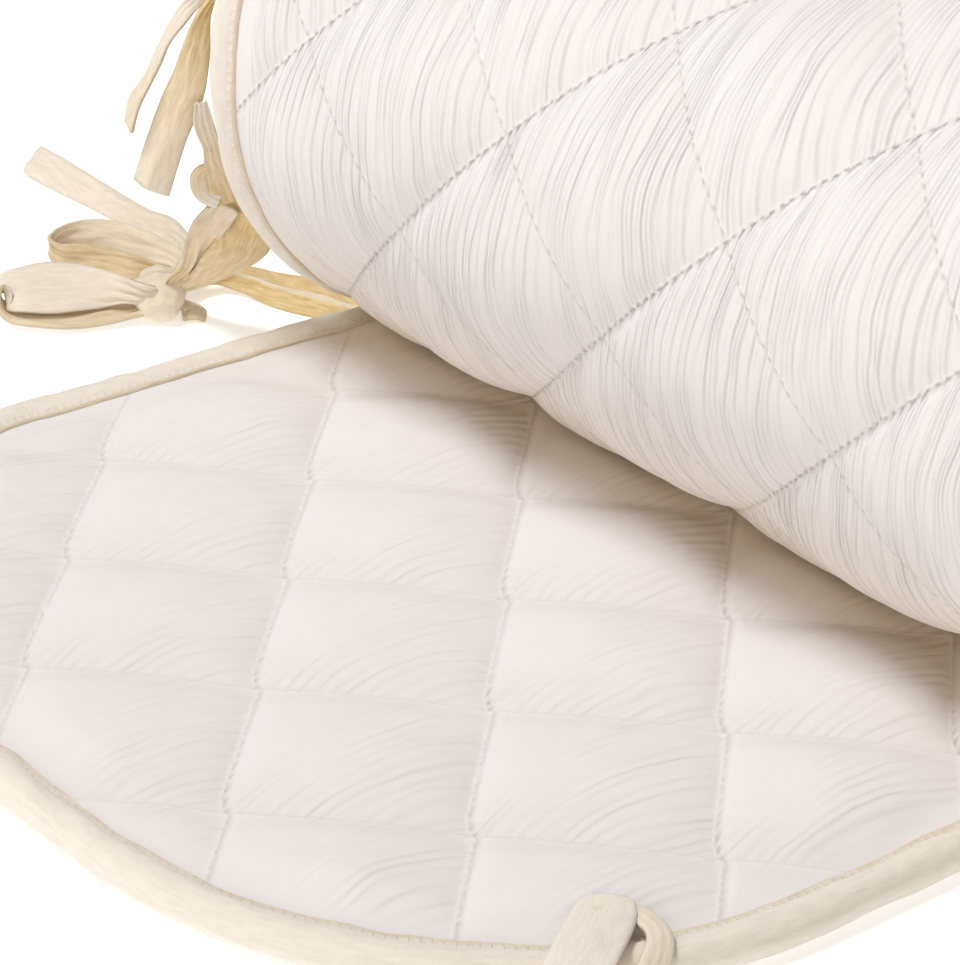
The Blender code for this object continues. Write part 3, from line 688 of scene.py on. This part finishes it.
EDGE_CURL = [
    (-86.0, 153.7, 79.0, 3.5, 5, 7, 2), (-84.6, 154.2, 73.0, 5.4, 5, 7, 2),
    (-82.8, 154.4, 68.4, 5.4, 6, 6, 2), (-81.6, 154.0, 65.0, 5.0, 6, 7, 2),
    (-80.2, 154.0, 60.0, 6.2, 5, 7, 2), (-77.2, 154.2, 53.0, 7.8, 4, 7, 3),
    (-74.4, 154.5, 47.3, 8.5, 4, 8, 3)]
CURL_LOBE = [
    (-80.4, 155.4, 58.8, 3.0, 6, 6, 0), (-82.2, 157.2, 56.0, 5.2, 5, 7, 2),
    (-82.0, 157.8, 52.6, 5.7, 4, 8, 2), (-80.5, 157.4, 49.4, 5.0, 4, 8, 1),
    (-77.5, 155.2, 47.8, 4.5, 4, 8, 1)]
NEAR_CORNER = [
    (-182.5, -121.5, 10.8, 9.0, 0, 0, 9),
    (-184.5, -123.5, 10.8, 12.5, 0, 0, 9),
    (-188.5, -126.3, 10.7, 14.0, 0, 0, 9),
    (-195.0, -130.4, 10.6, 14.5, 0, 0, 9),
    (-204.6, -136.4, 10.3, 14.5, -1, 0, 9),
    (-212.5, -141.5, 7.6, 14.0, -4, -3, 7),
    (-218.5, -145.5, 3.8, 13.5, -4, -3, 7),
    (-226.0, -150.0, 1.2, 13.0, -1, -1, 9),
    (-238.0, -158.0, 1.0, 12.5, 0, 0, 9)]
NEAR_SIDE = [
    (-189.5, -123.5, 10.7, 9.0, 0, 0, 9),
    (-184.5, -125.0, 10.6, 8.0, 0, 0, 9),
    (-180.8, -129.6, 10.0, 6.5, 0, 0, 9),
    (-182.6, -137.6, 10.0, 6.0, 1, -1, 9),
    (-190.5, -144.0, 8.6, 6.5, 2, -4, 8),
    (-199.0, -147.8, 5.6, 6.5, 1, -5, 7),
    (-206.5, -152.5, 1.4, 6.5, 0, -2, 8),
    (-218.0, -159.0, 1.1, 6.0, 0, 0, 9)]


def knot(side, rings, painted_shade):
    """Half of the knot as a rounded, creased lump."""
    outward = np.array(KNOT_FACING) * side / np.linalg.norm(KNOT_FACING)
    ahead = np.cross((0, 0, 1.0), outward)
    up = np.array((0, 0, 1.0))
    last = rings[-1]
    shape = spline(list(rings) + [(last[0] + 0.9, last[1] * 0.72, last[2] * 0.7, last[3])], 4)
    count = 40
    points, faces, uv = [], [], []
    for out, length, height, z in shape:
        centre = np.array((KNOT_CENTRE[0], KNOT_CENTRE[1], z)) + outward * out
        for k in range(count):
            a = TURN * k / count
            fold = 1 + 0.05 * math.sin(3 * a + side) + 0.035 * math.sin(8 * a + 0.25 * out)
            fold += 0.02 * math.sin(13 * a - 0.4 * out)
            point = centre + ahead * length * fold * math.cos(a) + up * height * fold * math.sin(a)
            points.append(point * MM)
            uv.append((k * 1.2 * MM, out * MM))
    for r in range(len(shape) - 1):
        for k in range(count):
            j = (k + 1) % count
            faces.append((r * count + j, r * count + k, (r + 1) * count + k, (r + 1) * count + j))
    faces.append(tuple(range(count)))
    faces.append(tuple(range(len(shape) * count - 1, (len(shape) - 1) * count - 1, -1)))
    # The knot takes one even share of painted shade
    return np.array(points), faces, np.array(uv), np.full(len(points), painted_shade)


cloth = quilted_cloth()
ends = roll_ends()
binding = edge_binding()
# The two shade numbers of each strip set its painted shade from start to end
bow_roll = together("bow_ribbon_from_roll", [
    knot(-1, FRONT_KNOT, 0.3),
    ribbon(STRAP_FROM_ROLL, 21, painted_shade=(1.0, 0.55), cup=1.2),
    ribbon(STRAP_FOLD, 31, painted_shade=(0.45, 0.7), cup=-1.5),
    ribbon(FRONT_LOOP, 22, painted_shade=(0.2, 0.2), inside=0.4),
    ribbon(SHORT_END, 23, painted_shade=(0.4, 0.45), outer=1)])
bow_floor = together("bow_ribbon_from_floor", [
    knot(1, BACK_KNOT, 0.3),
    ribbon(STRAP_FROM_FLOOR, 24, painted_shade=(0.95, 0.9), ridge=1.6),
    ribbon(BACK_LOOP, 25, painted_shade=(0.4, 0.45), inside=0.3),
    ribbon(LONG_END, 26, painted_shade=(0.3, 0.2))])
wide = together("loose_ribbon_wide", [ribbon(LOOSE_WIDE, 27, painted_shade=(1.0, 0.3), cup=1.6)])
thin = together("loose_ribbon_thin", [ribbon(LOOSE_THIN, 28, painted_shade=(0.1, 0.5))])
curl = together("edge_ribbon_curl", [
    ribbon(EDGE_CURL, 29, painted_shade=(0.2, 0.9)),
    ribbon(CURL_LOBE, 32, painted_shade=(0.9, 0.1), cup=1.8)])
near = together("corner_ribbon", [
    ribbon(NEAR_CORNER, 30, painted_shade=(0.05, 0.0), outer=1, crumple=0.25, pleats=0.3),
    ribbon(NEAR_SIDE, 33, painted_shade=(0.25, 0.15), outer=1, crumple=0.25, pleats=0.3)])

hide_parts("quilted_panel")
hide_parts("edge_binding")
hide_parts("tie_bow_roll")
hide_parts("tie_bow_floor")
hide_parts("tie_loose_wide")
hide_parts("tie_loose_thin")
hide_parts("tie_edge_curl")
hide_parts("tie_near_corner")
for piece in (cloth, ends, binding, bow_roll, bow_floor, wide, thin, curl, near):
    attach(piece, "root")


# Floor, light and camera
def floor():
    n = Nodes("pale_floor", roughness=1.0, sheen=0.0)
    n.shader.inputs["Base Color"].default_value = (0.93, 0.93, 0.93, 1)
    n.shader.inputs["Emission Color"].default_value = (1.0, 1.0, 1.0, 1)
    n.shader.inputs["Emission Strength"].default_value = 0.36
    mesh = bpy.data.meshes.new("studio_floor")
    mesh.from_pydata([(-4, -4, 0), (4, -4, 0), (4, 4, 0), (-4, 4, 0)], [], [(0, 1, 2, 3)])
    mesh.materials.append(n.material)
    piece = bpy.data.objects.new("studio_floor", mesh)
    piece.location.z = -0.0002
    bpy.context.scene.collection.objects.link(piece)
    piece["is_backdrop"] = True


def area_light(name, place_at, aim, size, power, colour):
    light = bpy.data.lights.new(name, "AREA")
    light.shape = "DISK"
    light.size = size
    light.energy = power
    light.color = colour
    piece = bpy.data.objects.new(name, light)
    piece.location = place_at
    piece.rotation_euler = (Vector(aim) - Vector(place_at)).to_track_quat("-Z", "Y").to_euler()
    bpy.context.scene.collection.objects.link(piece)


def studio():
    world = bpy.data.worlds.new("studio")
    bpy.context.scene.world = world
    world.use_nodes = True
    background = world.node_tree.nodes["Background"]
    background.inputs[0].default_value = (1.0, 0.91, 0.81, 1)
    background.inputs[1].default_value = 0.40
    area_light("key", (-0.78, 0.60, 1.8), (-0.05, 0, 0.05), 0.7, 23.5, (0.955, 0.975, 1.0))
    area_light("fill", (-1.75, -0.9, 0.6), (-0.05, 0, 0.05), 1.2, 8, (1.0, 0.98, 0.96))
    bpy.context.scene.view_settings.view_transform = "Standard"


def camera():
    data = bpy.data.cameras.new("camera")
    data.sensor_fit = "HORIZONTAL"
    data.sensor_width = 36
    data.lens = CAMERA_LENS
    data.clip_end = 20
    a, e, r = CAMERA_AZIMUTH, CAMERA_ELEVATION, CAMERA_ROLL
    back = Vector((math.sin(a) * math.cos(e), -math.cos(a) * math.cos(e), math.sin(e)))
    right = Vector((math.cos(a), math.sin(a), 0))
    up = back.cross(right)
    turned = math.cos(r) * right + math.sin(r) * up
    upright = -math.sin(r) * right + math.cos(r) * up
    piece = bpy.data.objects.new("camera", data)
    facing = Matrix((turned, upright, back)).transposed().to_4x4()
    piece.matrix_world = Matrix.Translation(CAMERA_TARGET + back * CAMERA_DISTANCE) @ facing
    bpy.context.scene.collection.objects.link(piece)
    bpy.context.scene.camera = piece


floor()
studio()
camera()


def plain(value):
    return [plain(item) for item in value] if hasattr(value, "__len__") else float(value)


plain(CAD_BOX)
plain(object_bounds())
